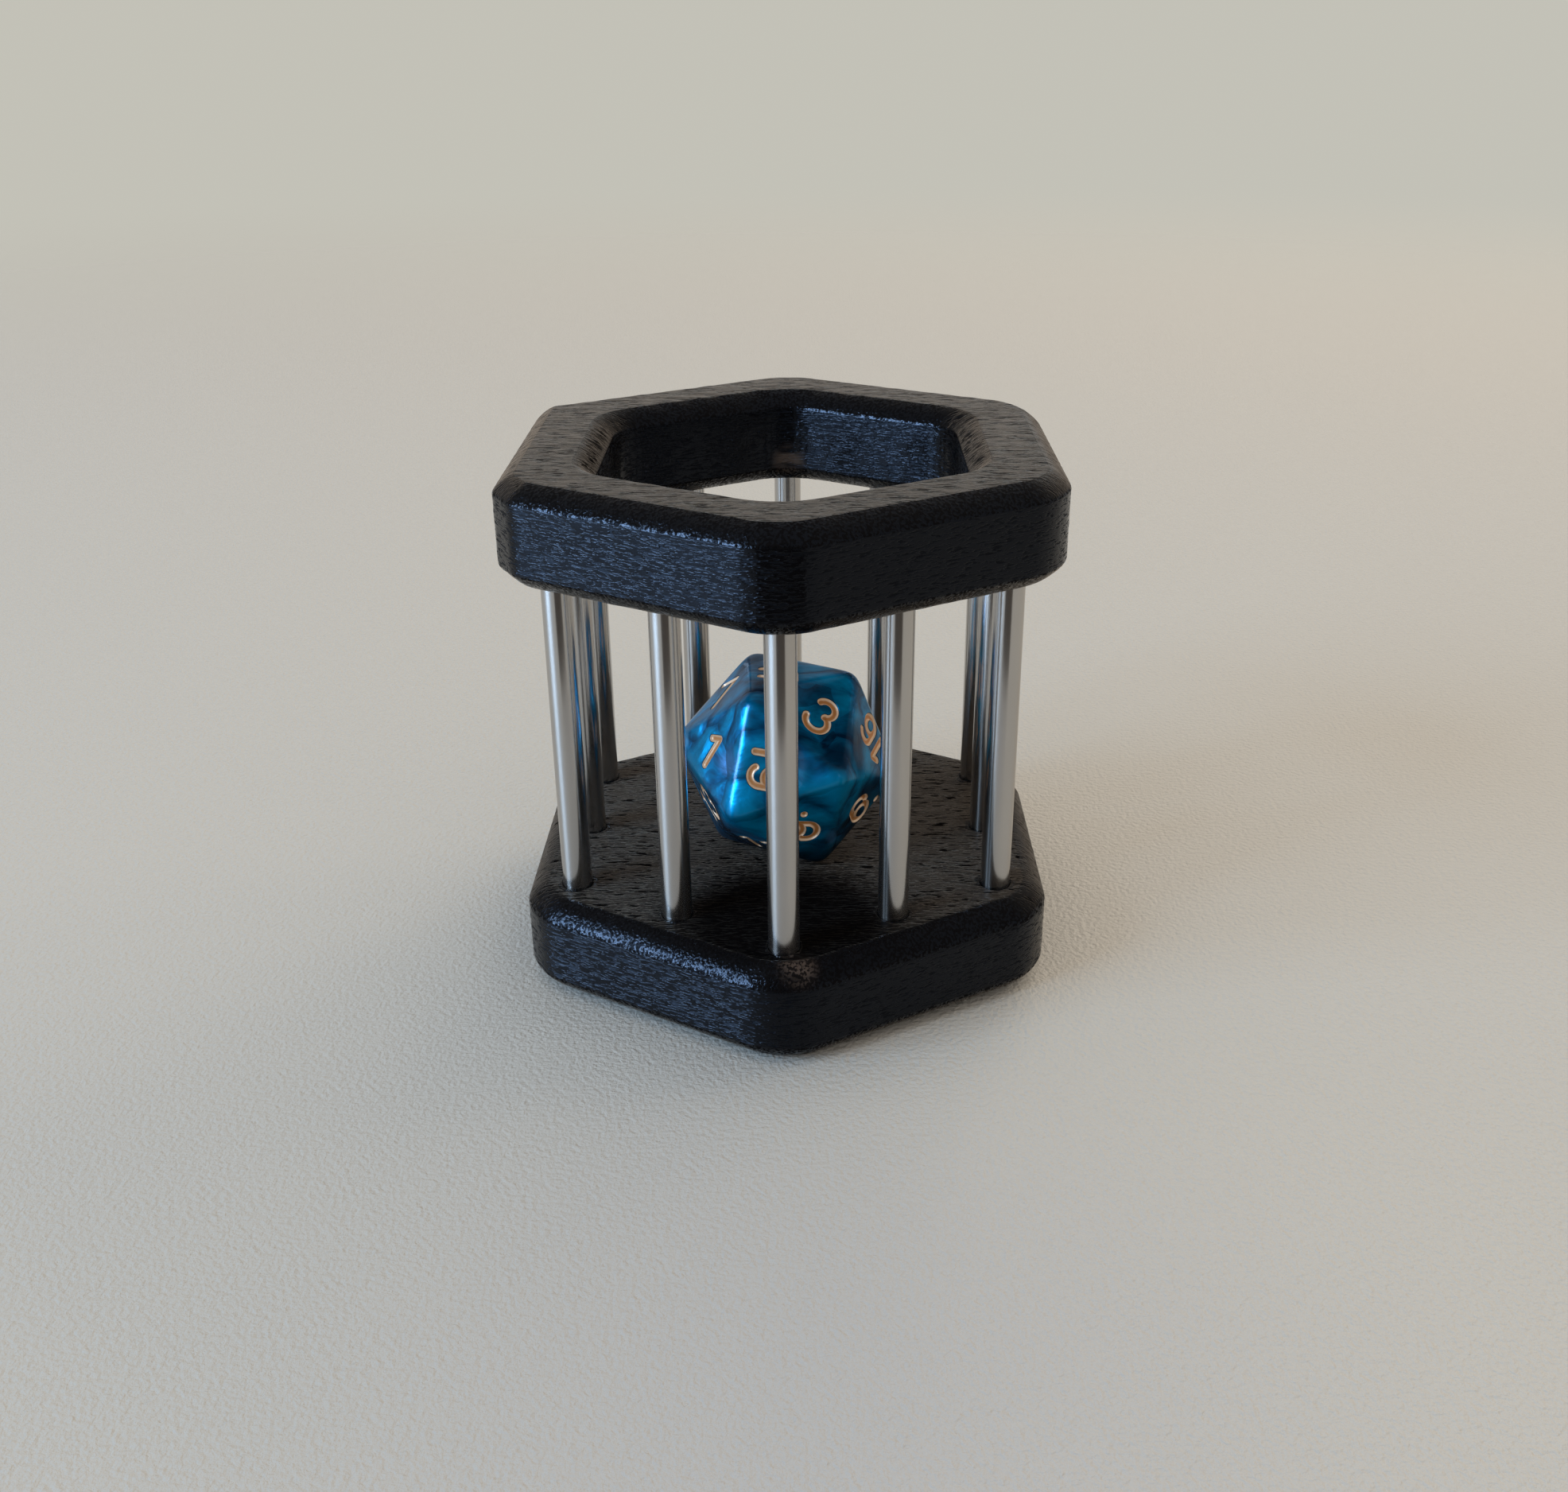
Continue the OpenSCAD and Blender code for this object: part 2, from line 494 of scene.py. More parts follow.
plate = {
    "cornerReach": 31.55 * mm,                  # from the axis to the flat on a corner
    "backLeftReach": 32.45 * mm,                # one of the ring's corners is sharper
    # Radii of the bends beside each corner, front corner first
    "baseBends": (7.6 * mm, 7.6 * mm, 7.2 * mm, 7.2 * mm, 7.2 * mm, 7.0 * mm),
    "ringBends": (7.2 * mm, 7.8 * mm, 7.8 * mm, 6.0 * mm, 2.4 * mm, 3.8 * mm),
    "holeWall": 9.7 * mm,
    "holeReach": 20.85 * mm,
    "holeBends": (5.2 * mm,) * 6,
    # Numbers of steps in the grids
    "bendSteps": 7,
    "chamferSteps": 4,
    "sideSteps": 68,
    "wallSteps": 12,
    "profileSteps": 400,                        # for adding up an edge's slope
    "faceSteps": 14,                            # across the ring's flat faces
    "topRings": (0.03, 35),                     # size of the smallest and number on the base's top
    "undersideRings": (0.1, 6),
    "socketSteps": 48,
    "socketRoom": 0.05 * mm,
    "socketChamfer": 0.15 * mm,
    "socketOver": 1 * mm,                       # how far a cutter stands out
    "creaseAngle": 16,
    "waves": 40,
    "waveSpread": (0.6, 1.6),                   # of their lengths
    "baseSeed": 3,
    "ringSeed": 11,
    "waveHeight": 0.013 * mm,                   # uneven sanding
    "waveSink": 1.5,                            # in wave heights
    "waveLength": (14 * mm, 2.2 * mm, 2.2 * mm),    # along X, Y and Z
    "flatBelow": 0.001 * mm,                    # the underside stays flat
    "edgeSlope": 0.80,                          # upward part of the normal in the middle of an edge
    # Ripples where an edge cuts across the grain, above all within tearReach of the axis, round the
    # hole. They need a slope within tearSlopes of edgeSlope. tearFacing is the part of the normal along
    # X where they start, and what is added until they are full
    "tearHeight": 0.09 * mm,
    "tearSink": 1.0,
    "tearLength": (3.0 * mm, 0.9 * mm, 2.6 * mm),
    "tearReach": 24 * mm,
    "tearSlopes": 0.30,
    "tearFacing": (0.30, 0.35),
    "outerTear": 0.2,
    # The same for the matt finish of such edges
    "tornSlopes": (1.5, 0.27),
    "tornFacing": (0.36, 0.42),
    "tornSoftness": 0.02,                       # fades it where a face is almost flat
    "outerTorn": 0.92,
}

# Each plate's rounded edge: how far it comes in over the flat face, how far down the side, and its
# slope in degrees at shares of its length. Both are steepest at the side, where they catch the light
baseEdge = (2.9 * mm, 2.3 * mm, {0.0: 0, 0.24: 17, 0.84: 47, 1.0: 74})
ringEdge = (2.4 * mm, 2.0 * mm, {0.0: 0, 0.08: 20, 0.88: 52, 1.0: 90})
edgeShares = np.array([0, 0.04, 0.08, 0.2, 0.35, 0.5, 0.64, 0.76, 0.85, 0.9, 0.94, 0.97, 1.0])

ringLow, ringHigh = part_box("top_ring")
baseLow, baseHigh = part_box("base")
apothem = (baseHigh.x - baseLow.x) / 2
holeApothem = apothem - plate["holeWall"]


# Points and outward directions round a hexagon whose corners are cut off at the given reaches from the
# axis, front corner first. It is a loop of twelve straight sides, 30 degrees apart, with an arc at each
# bend, and both bends of a corner have the same radius
def hexagonLoop(flat, reaches, bends):
    azimuth = np.radians(-90 + 30 * np.arange(12))
    normal = np.stack([np.cos(azimuth), np.sin(azimuth)], -1)
    away = np.full(12, flat)
    away[::2] = reaches
    bend = np.roll(np.repeat(bends, 2), -1)
    pairs = np.stack([normal, np.roll(normal, -1, 0)], 1)
    offsets = np.stack([away - bend, np.roll(away, -1) - bend], 1)
    centre = np.linalg.solve(pairs, offsets[..., None])[:, None, :, 0]
    turn = azimuth[:, None] + np.radians(np.linspace(0, 30, plate["bendSteps"] + 1))
    arcNormal = np.stack([np.cos(turn), np.sin(turn)], -1)
    arc = centre + bend[:, None, None] * arcNormal
    points, normals = [], []
    for k in range(12):
        steps = plate["sideSteps"] if k % 2 == 0 else plate["chamferSteps"]
        share = np.linspace(0, 1, steps + 1)[1:-1, None]
        straight = arc[k, -1] + (arc[(k + 1) % 12, 0] - arc[k, -1]) * share
        points += [arc[k], straight]
        normals += [arcNormal[k], np.broadcast_to(arcNormal[k, -1], straight.shape)]
    return np.concatenate(points), np.concatenate(normals)


# Inset and height of rows from the flat underside round both edges to the flat top. The run over the
# face and the drop down the side are the sums of the slope's cosine and sine, scaled to the edge's size
def edgeProfile(low, high, edge):
    inward, downward, slopes = edge
    fine = np.linspace(0, 1, plate["profileSteps"])
    slope = np.radians(np.interp(fine, list(slopes), list(slopes.values())))
    run, fall = np.cumsum(np.cos(slope)), np.cumsum(np.sin(slope))
    inset = inward * (1 - np.interp(edgeShares, fine, (run - run[0]) / (run[-1] - run[0])))
    drop = downward * np.interp(edgeShares, fine, (fall - fall[0]) / (fall[-1] - fall[0]))
    wall = np.linspace(low + downward, high - downward, plate["wallSteps"] + 1)[1:-1]
    insets = np.concatenate([inset, np.zeros(len(wall)), inset[::-1]])
    heights = np.concatenate([low + drop, wall, high - drop[::-1]])
    return insets, heights


# Sum of seeded plane waves whose lengths vary round the ones given. Nearly all of it is within 1.5 of 0
def grainWaves(points, lengths, seed):
    random = np.random.default_rng(seed)
    size = random.uniform(*plate["waveSpread"], (plate["waves"], 3)) * np.array(lengths)
    sign = random.choice([-1.0, 1.0], (plate["waves"], 3))
    phase = random.uniform(0, 2 * math.pi, plate["waves"])
    return np.sin(points @ (2 * math.pi * sign / size).T + phase).sum(1) / math.sqrt(plate["waves"])


def meshNormals(mesh):
    flat = np.empty(len(mesh.vertices) * 3)
    mesh.vertices.foreach_get("normal", flat)
    return flat.reshape(-1, 3)


# 0 up to start, 1 from start + width onwards, and a straight ramp between
def ramp(values, start, width):
    return np.clip((values - start) / width, 0, 1)


# 1 round the hole and the given share further out
def roundHole(points, outerShare):
    return np.where(np.hypot(points[:, 0], points[:, 1]) < plate["tearReach"], 1.0, outerShare)


# Moves the points along their normals, almost always inwards: slight waves everywhere, and ripples
# where an edge faces along X
def handSand(mesh, seed):
    points, normals = meshPoints(mesh), meshNormals(mesh)
    onEdge = ramp(1 - np.abs(np.abs(normals[:, 2]) - plate["edgeSlope"]) / plate["tearSlopes"], 0, 1)
    endGrain = ramp(np.abs(normals[:, 0]), *plate["tearFacing"]) * onEdge
    endGrain *= roundHole(points, plate["outerTear"])
    waves = grainWaves(points, plate["waveLength"], seed) - plate["waveSink"]
    tears = grainWaves(points, plate["tearLength"], seed + 1) - plate["tearSink"]
    height = plate["waveHeight"] * waves + plate["tearHeight"] * endGrain * tears
    height = np.where(points[:, 2] < plate["flatBelow"], 0, height)
    moved = points + normals * height[:, None]
    mesh.vertices.foreach_set("co", moved.ravel())
    mesh.update()


# Cutters for the bars' sockets, wider at the mouth. up is 1 for sockets that open upwards and -1 for
# ones that open downwards
def socketCutters(mouth, up):
    lip = plate["socketChamfer"]
    cutters = []
    for name in barNames:
        low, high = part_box(name)
        blind = low.z if up > 0 else high.z
        rows = [(blind, 0), (mouth - up * lip, 0), (mouth, lip), (mouth + up * plate["socketOver"], lip)]
        heights, extras = np.array(rows[::up]).T
        radii = (high.x - low.x) / 2 + plate["socketRoom"] + extras
        x, y = (low.x + high.x) / 2, (low.y + high.y) / 2
        cutters.append(turnedPiece("socket", x, y, radii, heights, plate["socketSteps"]))
    return cutters


# Cuts the sockets and sets the attributes that woodMaterial reads
def finishPlate(piece, cutters, node):
    carve(piece, cutters)
    piece.data.set_sharp_from_angle(angle=math.radians(plate["creaseAngle"]))
    points, normals = meshPoints(piece.data), np.abs(meshNormals(piece.data))
    slope = normals[:, 2]
    facing = normals[:, 0] / (np.hypot(normals[:, 0], normals[:, 1]) + plate["tornSoftness"])
    fullness, spread = plate["tornSlopes"]
    onEdge = ramp(fullness - np.abs(slope - plate["edgeSlope"]) / spread, 0, 1)
    torn = ramp(facing, *plate["tornFacing"]) * onEdge * roundHole(points, plate["outerTorn"])
    for name, values in (("tilt", slope), ("torn", torn)):
        piece.data.attributes.new(name, "FLOAT", "POINT").data.foreach_set("value", values)
    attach(piece, "cage")
    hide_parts(node)


# Points in plan, lifted to a height
def lift(points, height):
    return np.c_[points, np.full(len(points), height)]


# Rings of the outline on the underside, rows up the edges and the side, and rings on the top
def makeBase(material):
    loop, out = hexagonLoop(apothem, [plate["cornerReach"]] * 6, plate["baseBends"])
    insets, heights = edgeProfile(0.0, baseHigh.z, baseEdge)
    rim = loop - baseEdge[0] * out
    underside = np.linspace(plate["undersideRings"][0], 1, plate["undersideRings"][1], endpoint=False)
    top = np.linspace(1, plate["topRings"][0], plate["topRings"][1] + 1)[1:]
    rows = [lift(rim * s, 0.0) for s in underside]
    rows += [lift(loop - e * out, z) for e, z in zip(insets, heights)]
    rows += [lift(rim * s, baseHigh.z) for s in top]
    points = np.concatenate(rows + [[[0, 0, 0], [0, 0, baseHigh.z]]])
    piece = newPiece("baseBlock", points, closedFaces(len(rows), len(loop)), material)
    handSand(piece.data, plate["baseSeed"])
    finishPlate(piece, socketCutters(baseHigh.z, 1), "base")


# Rows up the outside, in over the top, down the wall of the hole and out again over the underside
def makeRing(material):
    reaches = [plate["cornerReach"]] * 6
    reaches[4] = plate["backLeftReach"]
    outer, outerOut = hexagonLoop(apothem, reaches, plate["ringBends"])
    inner, innerOut = hexagonLoop(holeApothem, [plate["holeReach"]] * 6, plate["holeBends"])
    insets, heights = edgeProfile(ringLow.z, ringHigh.z, ringEdge)
    outerRim, innerRim = outer - ringEdge[0] * outerOut, inner + ringEdge[0] * innerOut
    share = np.linspace(0, 1, plate["faceSteps"] + 1)[1:-1]
    levels = list(zip(insets, heights))
    rows = [lift(outer - e * outerOut, z) for e, z in levels]
    rows += [lift(outerRim + (innerRim - outerRim) * s, ringHigh.z) for s in share]
    rows += [lift(inner + e * innerOut, z) for e, z in levels[::-1]]
    rows += [lift(innerRim + (outerRim - innerRim) * s, ringLow.z) for s in share]
    faces = bandFaces(len(rows), len(outer), joined=True)
    piece = newPiece("topRing", np.concatenate(rows), faces, material)
    handSand(piece.data, plate["ringSeed"])
    finishPlate(piece, socketCutters(ringLow.z, -1), "top_ring")


barNames = sorted(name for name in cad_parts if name.startswith("rod_"))
blackWood = woodMaterial()
makeBase(blackWood)
makeRing(blackWood)
print("wooden plates made")


# Steel bars
bar = {
    "colour": (0.52, 0.505, 0.485),
    "cloudColour": (0.4836, 0.46965, 0.45105),
    "cloudScale": (160.0, 160.0, 60.0),
    "cloudStep": (0.3, 0.7),
    "mirrorRoughness": 0.18,
    # A faint second gloss, spread round the bar by the drawn lines
    "hazeRoughness": 0.42,
    "hazeColour": (0.58, 0.51, 0.44),
    "hazeShare": 0.09,
    "hazeTurn": 0.25,
    "columns": 72,
    "endRound": 0.3 * mm,
    "endSteps": 6,
    "creaseAngle": 40,
    "drawnScale": (2600.0, 2600.0, 30.0),       # fine lines along the bar
    "drawnDepth": 0.002 * mm,
}


def steelMaterial():
    material, mirror, place = newMaterial("polishedSteel")
    lines = place.noise(bar["drawnScale"], detail=3.0, roughness=0.6)
    cloud = place.noise(bar["cloudScale"], detail=3.0).step(*bar["cloudStep"])
    metal = {"Metallic": 1.0, "Normal": lines.bump(bar["drawnDepth"])}
    colour = cloud.tint(bar["cloudColour"], bar["colour"])
    mirror.plug({**metal, "Base Color": colour, "Roughness": bar["mirrorRoughness"]})
    haze = place.add("BsdfPrincipled", {}, {
        **metal,
        "Base Color": bar["hazeColour"],
        "Roughness": bar["hazeRoughness"],
        "Anisotropic": 1.0,
        "Anisotropic Rotation": bar["hazeTurn"],
    })
    setSurface(material, mirror.mixed(bar["hazeShare"], haze))
    return material


# Flat ends, rounded rims and a straight side
def makeBar(name, material):
    low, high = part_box(name)
    centre, radius = (low + high) / 2, (high.x - low.x) / 2
    bend = np.radians(np.linspace(0, 90, bar["endSteps"]))
    r = bar["endRound"]
    rimReach, rimHeight = radius - r + r * np.sin(bend), r * (1 - np.cos(bend))
    radii = np.concatenate([rimReach, rimReach[::-1]])
    heights = np.concatenate([low.z + rimHeight, high.z - rimHeight[::-1]])
    title = name.replace("rod_", "steelBar")
    piece = turnedPiece(title, centre.x, centre.y, radii, heights, bar["columns"], material)
    piece.data.set_sharp_from_angle(angle=math.radians(bar["creaseAngle"]))
    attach(piece, "cage")
    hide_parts(name)


polishedSteel = steelMaterial()
for name in barNames:
    makeBar(name, polishedSteel)
print("bars made:", len(barNames))


# The die
die = {
    "turn": 1.0,                                # degrees from +X to a corner of the top face
    "cornerTrim": 0.45 * mm,
    "sharpness": 56,                            # power of the norm that rounds the edges
    "faceSteps": 44,
    "crowding": 2.2,                            # crowds the grid's lines towards the edges
    "digitHeight": 4.0 * mm,
    "pairScale": 0.92,
    "pairDrop": 0.55 * mm,
    # Numbers that sit off their face's middle
    "shifts": {
        1: (-1.16 * mm, -0.38 * mm),
        3: (0.36 * mm, 0.32 * mm),
        6: (0.4 * mm, -1.3 * mm),
        7: (-0.4 * mm, 0.5 * mm),
        9: (-1.32 * mm, -0.24 * mm),
        16: (-0.5 * mm, -0.9 * mm),
        17: (0.0, -0.3 * mm),
    },
    "dots": {6: (0.925, 0.0), 9: (0.965, 0.475)},    # in heights, from the number's lower left
    "dotLength": 0.02,
    "digitGap": 0.36,                           # in heights, as the strokes below
    "strokeWidth": 0.78 * mm,
    "grooveDepth": 0.32 * mm,
    "rimDepth": 0.06 * mm,                      # bare resin above the paint
    "paintThickness": 0.03 * mm,
    # Rows of a groove's cutter from its top to its bottom: reach in half widths, and drop in
    # grooveDepth. The cutter's top and the first row after it stand out above the face
    "cutterReaches": (0.0, 1.35, 1.22, 1.02, 0.97, 0.85, 0.6, 0.35, 0.0),
    "cutterDrops": (0.0, 0.2, 0.45, 0.72, 0.9, 0.97, 1.0),
    "cutterOver": 0.1 * mm,
    "arcSteps": 22,
    "capSteps": 8,
    "creaseAngle": 28,
}

dieLow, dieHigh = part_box("die")
dieCentre = np.array((dieLow + dieHigh) / 2)
dieInradius = (dieHigh.z - dieLow.z) / 2
cornerReach = dieInradius * math.sqrt(15 - 6 * math.sqrt(5))


# Corners of an icosahedron that lies on a face: rings of three at four heights, named by ring and
# azimuth
def dieCorners():
    golden = (1 + math.sqrt(5)) / 2
    narrow = cornerReach * math.sqrt(4 / (3 * (golden + 2)))
    wide = golden * narrow
    upper = math.sqrt(cornerReach ** 2 - wide ** 2)
    rings = {
        "top": (narrow, dieInradius, (0, 120, 240)),
        "upper": (wide, upper, (60, 180, 300)),
        "lower": (wide, -upper, (0, 120, 240)),
        "bottom": (narrow, -dieInradius, (60, 180, 300)),
    }
    corners = {}
    for ring, (reach, height, azimuths) in rings.items():
        for azimuth in azimuths:
            turned = math.radians(azimuth + die["turn"])
            corner = [reach * math.cos(turned), reach * math.sin(turned), height]
            corners[f"{ring}{azimuth}"] = np.array(corner)
    return corners


# Each face's number and corners; the tops of its digits point at the first corner
dieFaces = {
    17: ("top0", "top120", "top240"),
    3: ("top0", "upper300", "top240"),
    7: ("top120", "top240", "upper180"),
    10: ("top0", "top120", "upper60"),
    19: ("upper300", "top240", "lower240"),
    16: ("upper300", "top0", "lower0"),
    1: ("top240", "upper180", "lower240"),
    15: ("top120", "upper180", "lower120"),
    8: ("lower0", "top0", "upper60"),
    12: ("lower120", "top120", "upper60"),
    9: ("lower240", "upper300", "bottom300"),
    6: ("upper300", "lower0", "bottom300"),
    13: ("upper180", "lower240", "bottom180"),
    5: ("lower120", "upper180", "bottom180"),
    20: ("upper60", "lower0", "bottom60"),
    2: ("bottom60", "upper60", "lower120"),
    11: ("lower240", "bottom300", "bottom180"),
    14: ("lower0", "bottom300", "bottom60"),
    18: ("bottom180", "lower120", "bottom60"),
    4: ("bottom60", "bottom180", "bottom300"),
}


# The corners, the middle and the outward direction of each face, by number
def dieSides():
    corners = dieCorners()
    sides = {}
    for number, names in dieFaces.items():
        three = np.array([corners[name] for name in names])
        middle = three.mean(0)
        sides[number] = (three, middle, middle / np.linalg.norm(middle))
    return sides


# Points on an ellipse's arc, in degrees anticlockwise from the right
def arc(x, y, wide, high, start, stop):
    turn = np.radians(np.linspace(start, stop, die["arcSteps"]))
    return np.stack([x + wide * np.cos(turn), y + high * np.sin(turn)], -1)


def line(*points):
    return np.array(points, float)


# The strokes of each digit in a box one unit high, and the digit's width
digitWidths = {"1": 0.36}
usualWidth = 0.62
two = np.concatenate([arc(0.31, 0.71, 0.29, 0.29, 165, -35), line((0.03, 0))])
hook = line((0.13, 1), (0.08, 0.56))
nine = np.concatenate([line((0.60, 0.70)), arc(0.31, 0.28, 0.29, 0.28, 0, -146)])
loneNine = np.concatenate([line((0.60, 0.70)), arc(0.31, 0.28, 0.29, 0.28, 0, -180), line((0.02, 0.36))])
digitStrokes = {
    "0": [arc(0.31, 0.5, 0.31, 0.5, 90, 450)],
    "1": [line((0.34, 0.03), (0.34, 0.96)), line((0.34, 0.96), (0.08, 0.77))],
    "2": [two, line((0.03, 0), (0.6, 0))],
    "3": [arc(0.29, 0.75, 0.27, 0.25, 158, -66), arc(0.29, 0.28, 0.33, 0.29, 68, -172)],
    "4": [line((0.45, 0), (0.45, 1)), line((0.45, 1), (0.0, 0.3)), line((0.0, 0.3), (0.62, 0.3))],
    "5": [line((0.55, 1), (0.13, 1)), hook, arc(0.28, 0.31, 0.32, 0.31, 128, -150)],
    "7": [line((0.0, 1), (0.58, 1)), line((0.58, 1), (0.18, 0))],
    "8": [arc(0.31, 0.76, 0.22, 0.24, -90, 270), arc(0.31, 0.26, 0.3, 0.26, 90, 450)],
    "9": [arc(0.32, 0.70, 0.28, 0.30, 0, 360), nine],
    "lone9": [arc(0.32, 0.70, 0.28, 0.30, 0, 360), loneNine],
}
for nineName, sixName in (("9", "6"), ("lone9", "lone6")):
    digitStrokes[sixName] = [np.array([usualWidth, 1.0]) - stroke for stroke in digitStrokes[nineName]]


# All strokes of a number, centred on the origin, in metres
def numberStrokes(number):
    strokes, x = [], 0.0
    for digit in [f"lone{number}"] if number in die["dots"] else str(number):
        strokes += [stroke + (x, 0) for stroke in digitStrokes[digit]]
        x += digitWidths.get(digit, usualWidth) + die["digitGap"]
    width = x - die["digitGap"]
    if number in die["dots"]:
        ends = np.array([[-0.5, 0], [0.5, 0]]) * die["dotLength"]
        strokes.append(ends + die["dots"][number])
    pair = number > 9
    size = die["digitHeight"] * (die["pairScale"] if pair else 1.0)
    drop = die["pairDrop"] if pair else 0.0
    shift = np.array(die["shifts"].get(number, (0, 0)))
    return [(stroke - (width / 2, 0.5)) * size - (0, drop) + shift for stroke in strokes]


# A closed boat-shaped cutter along a stroke. Loops run round the path at a distance that falls from the
# half width to nothing: along one side, round the end, back along the other and round the start
def strokeCutter(path, place, material):
    along = np.gradient(path, axis=0)
    if np.allclose(path[0], path[-1]):
        along[0] = along[-1] = path[1] - path[-2]
    along /= np.linalg.norm(along, axis=1)[:, None]
    left = np.stack([-along[:, 1], along[:, 0]], -1)
    cap = np.radians(np.linspace(0, 180, die["capSteps"] + 2)[1:-1])[:, None]
    endCap = -left[-1] * np.cos(cap) + along[-1] * np.sin(cap)
    startCap = left[0] * np.cos(cap) - along[0] * np.sin(cap)
    atEnd, atStart = np.repeat(path[-1:], len(cap), 0), np.repeat(path[:1], len(cap), 0)
    spine = np.concatenate([path, atEnd, path[::-1], atStart])
    out = np.concatenate([-left, endCap, left[::-1], startCap])
    reaches = die["strokeWidth"] / 2 * np.array(die["cutterReaches"])
    drops = np.concatenate([[-die["cutterOver"]] * 2, die["grooveDepth"] * np.array(die["cutterDrops"])])
    flat = spine[None] + out[None] * reaches[:, None, None]
    down = np.broadcast_to(drops[:, None, None], (*flat.shape[:2], 1))
    centre, right, up, normal = place
    points = centre + flat[..., :1] * right + flat[..., 1:] * up - down * normal
    rowCount, columnCount = flat.shape[:2]
    cutter = newPiece("stroke", points, bandFaces(rowCount, columnCount)[:, ::-1], material)
    weld(cutter.data)
    return cutter


# Merges the points that lie on each other, and drops the faces that this leaves without area or back to
# back
def weld(mesh):
    points = meshPoints(mesh)
    nanometre = 1e-9
    cells = np.round(points / nanometre)
    _, first, which = np.unique(cells, axis=0, return_index=True, return_inverse=True)
    which = which.ravel()
    faces = [list(dict.fromkeys(which[list(p.vertices)].tolist())) for p in mesh.polygons]
    kept = {}
    for face in faces:
        if len(face) > 2:
            kept.setdefault(frozenset(face), []).append(face)
    single = [group[0] for group in kept.values() if len(group) % 2]
    mesh.clear_geometry()
    mesh.from_pydata(points[first], [], single)
    mesh.validate()


# Each flat face is a grid of triangles in shares of its three corners, crowded towards the edges. Every
# point then goes out to a smooth norm of the distances to all the faces, which rounds the edges, and of
# the trimming sphere
def dieBody(material):
    n = die["faceSteps"]
    i, j = np.meshgrid(np.arange(n + 1), np.arange(n + 1), indexing="ij")
    inside = i + j <= n
    index = np.full((n + 1, n + 1), -1)
    index[inside] = np.arange(inside.sum())
    shares = np.stack([i[inside], j[inside], n - i[inside] - j[inside]], -1) / n
    shares = shares ** die["crowding"]
    shares /= shares.sum(1)[:, None]
    a, b = i[:-1, :-1], j[:-1, :-1]
    lower = a + b < n
    upper = a + b < n - 1
    first = np.stack([index[a, b][lower], index[a + 1, b][lower], index[a, b + 1][lower]], -1)
    second = np.stack([index[a + 1, b][upper], index[a + 1, b + 1][upper], index[a, b + 1][upper]], -1)
    triangles = np.concatenate([first, second])
    points, faces, normals = [], [], []
    for three, _, normal in dieSides().values():
        outward = np.dot(np.cross(three[1] - three[0], three[2] - three[0]), normal) > 0
        faces.append((triangles if outward else triangles[:, ::-1]) + len(points) * len(shares))
        points.append(shares @ three)
        normals.append(normal)
    points = np.concatenate(points)
    ways = points / np.linalg.norm(points, axis=1)[:, None]
    trim = cornerReach - die["cornerTrim"]
    near = np.c_[ways @ np.array(normals).T / dieInradius, np.full(len(ways), 1 / trim)].clip(0)
    most = near.max(1)
    reach = 1 / (most * ((near / most[:, None]) ** die["sharpness"]).sum(1) ** (1 / die["sharpness"]))
    piece = newPiece("dieBody", dieCentre + ways * reach[:, None], np.concatenate(faces), material)
    weld(piece.data)
    return piece


def makeDie(pearl, paint):
    body = dieBody(pearl)
    cutters = []
    for number, (three, middle, normal) in dieSides().items():
        up = (three[0] - middle) / np.linalg.norm(three[0] - middle)
        place = (dieCentre + middle, np.cross(up, normal), up, normal)
        cutters += [strokeCutter(path, place, paint) for path in numberStrokes(number)]
    carve(body, cutters)
    body.data.set_sharp_from_angle(angle=math.radians(die["creaseAngle"]))
    paintPiece = paintGrooves(body, paint)
    slots = body.data.materials
    for k in range(len(slots)):
        slots[k] = pearl
    for piece, slot in ((body, "pearl_resin"), (paintPiece, "gold_paint")):
        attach(piece, "die")
    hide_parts("die")


# A thin closed coat on the grooves' faces below the bare rim. Its attribute deep runs from 0 at the rim
# to 1 at the bottom, and the attribute rim of the body is 1 in the grooves, where shade is painted
def paintGrooves(body, paint):
    normals = np.array([normal for _, _, normal in dieSides().values()])
    mesh = body.data
    points = meshPoints(mesh)
    depth = dieInradius - ((points - dieCentre) @ normals.T).max(1)
    painted = [k for k, m in enumerate(mesh.materials) if m == paint]
    groove = [list(p.vertices) for p in mesh.polygons if p.material_index in painted]
    faces = [face for face in groove if depth[face].min() > die["rimDepth"]]
    used, inverse = np.unique(np.concatenate(faces), return_inverse=True)
    counts = np.cumsum([len(face) for face in faces])[:-1]
    coat = newPiece("numberPaint", points[used], [f.tolist() for f in np.split(inverse, counts)], paint)
    deep = coat.data.attributes.new("deep", "FLOAT", "POINT")
    deep.data.foreach_set("value", depth[used] / die["grooveDepth"])
    grooved = np.zeros(len(points))
    grooved[np.unique(np.concatenate(groove))] = 1.0
    rim = mesh.attributes.new("rim", "FLOAT", "POINT")
    rim.data.foreach_set("value", grooved * (depth / die["rimDepth"]).clip(0, 1))
    thick = coat.modifiers.new("coat", "SOLIDIFY")
    thick.thickness, thick.offset = die["paintThickness"], 1.0
    return coat


